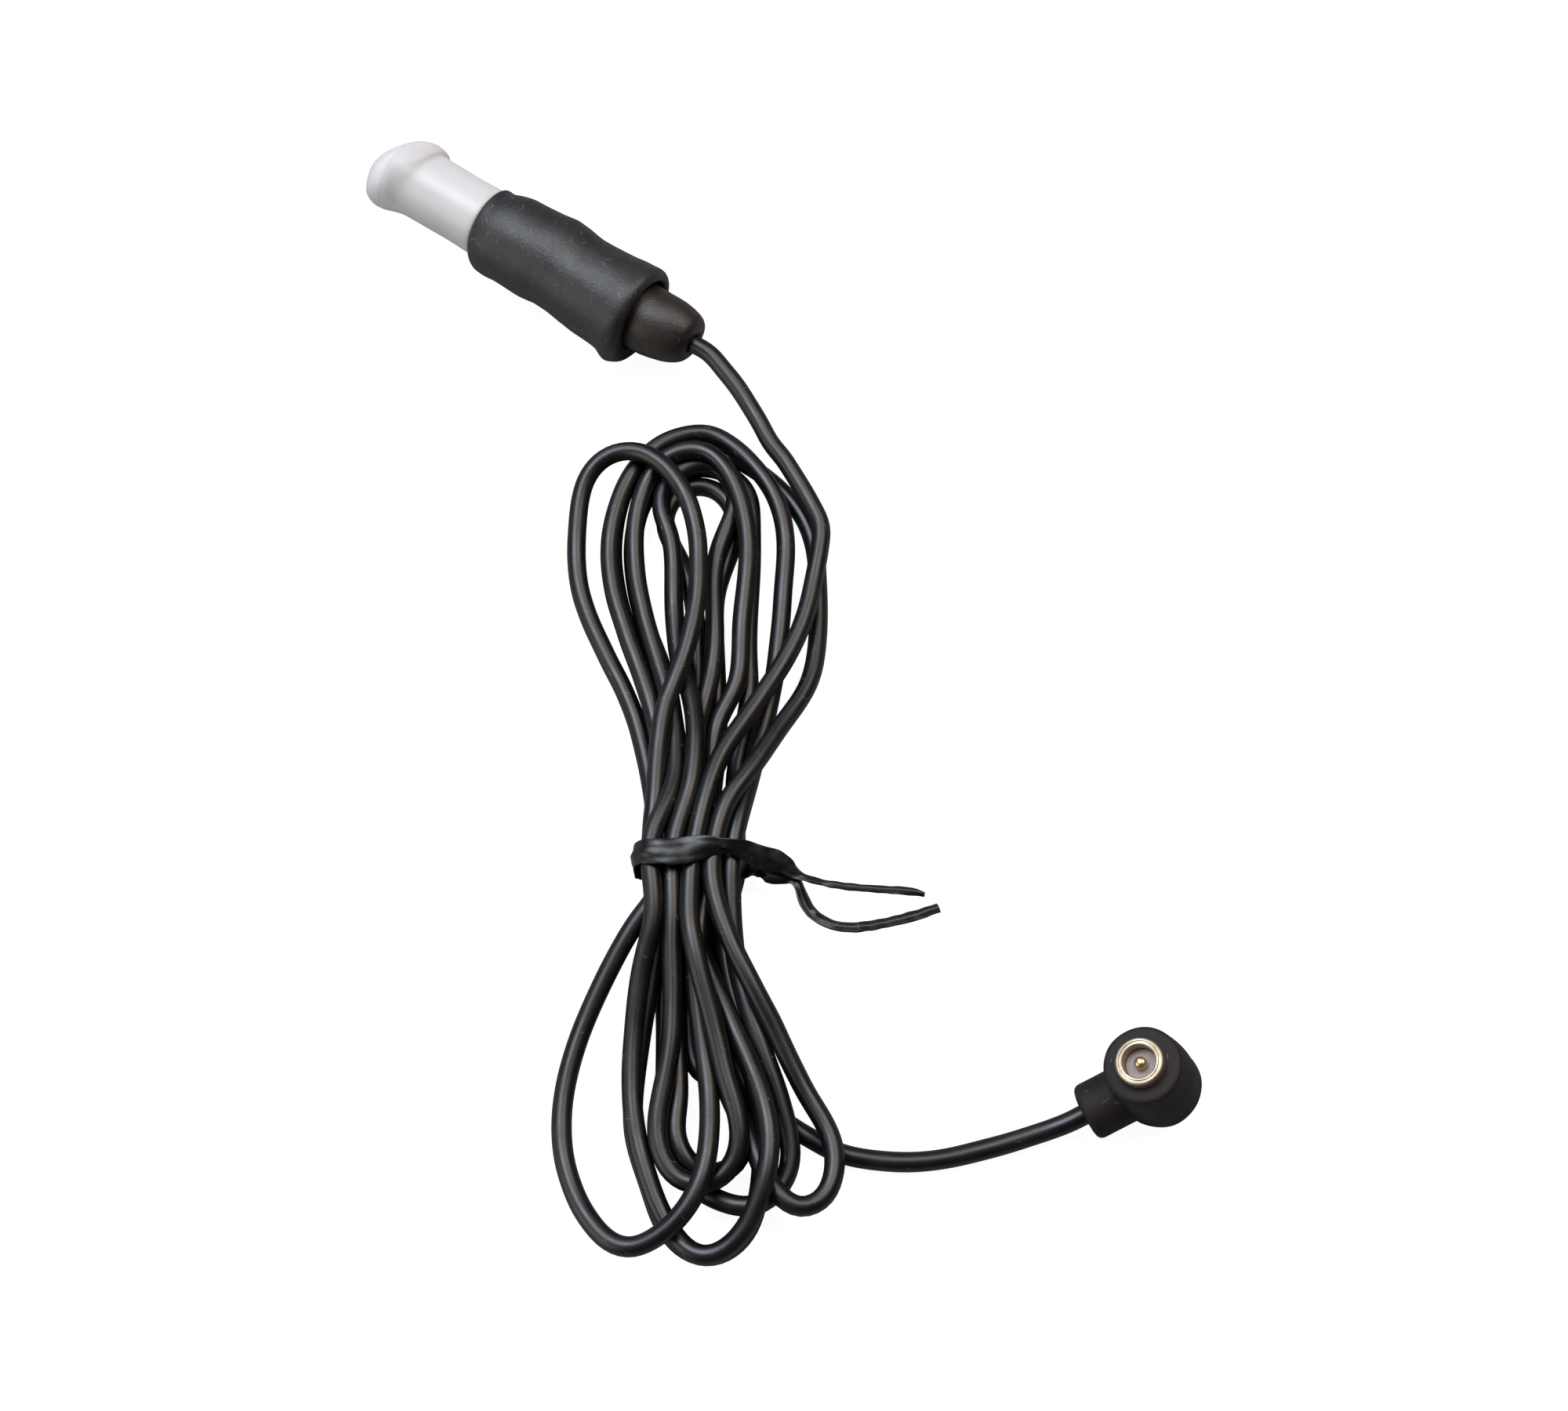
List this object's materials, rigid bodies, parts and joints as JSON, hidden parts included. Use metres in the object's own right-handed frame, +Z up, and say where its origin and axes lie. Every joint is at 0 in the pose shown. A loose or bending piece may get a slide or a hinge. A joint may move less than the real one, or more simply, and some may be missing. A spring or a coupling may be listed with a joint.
{
  "type": "camera sync and release lead",
  "caption": "Thin round coaxial lead tied in a hank, with a capped straight socket at one end and a right-angle plug with a metal ring and centre pin at the other.",
  "frame": {"origin": "on the ground under the middle of the capped straight socket, whose axis lies along X", "axes": "+X along the straight socket from its capped mouth to the cord, +Z up, +Y to the left of that direction"},
  "size_m": [0.1437, 0.098, 0.0129],
  "materials": {
    "black_rubber": "matte moulded rubber",
    "black_moulding": "semi-matte moulded vinyl",
    "cord_jacket": "semi-matte vinyl",
    "plated_metal": "warm nickel plating",
    "contact_metal": "gold plating",
    "white_insulator": "moulded insulator",
    "milky_cap": "soft translucent polyethylene"
  },
  "bodies": {
    "lead": {"grip_sleeve": "black_rubber", "socket_barrel": "plated_metal", "socket_bush": "white_insulator", "socket_spigot": "plated_metal", "spigot_liner": "white_insulator", "centre_contact": "contact_metal", "socket_ground_lug": "plated_metal", "socket_ferrule": "plated_metal", "socket_core_wire": "white_insulator", "strain_relief": "black_moulding", "plug_housing": "black_moulding", "plug_ring": "plated_metal", "plug_disc": "white_insulator", "plug_pin": "contact_metal", "plug_ground_lug": "plated_metal", "plug_ferrule": "plated_metal", "plug_core_wire": "white_insulator", "cord_lead_socket": "cord_jacket", "cord_hank": "cord_jacket", "cord_lead_plug": "cord_jacket", "twist_tie": "cord_jacket"},
    "cap": {"protective_cap": "milky_cap"}
  },
  "joints": [
    {"name": "cap_pull", "type": "slide", "parent": "lead", "child": "cap", "axis": [-1, 0, 0], "range_m": [0, 0.03]}
  ]
}
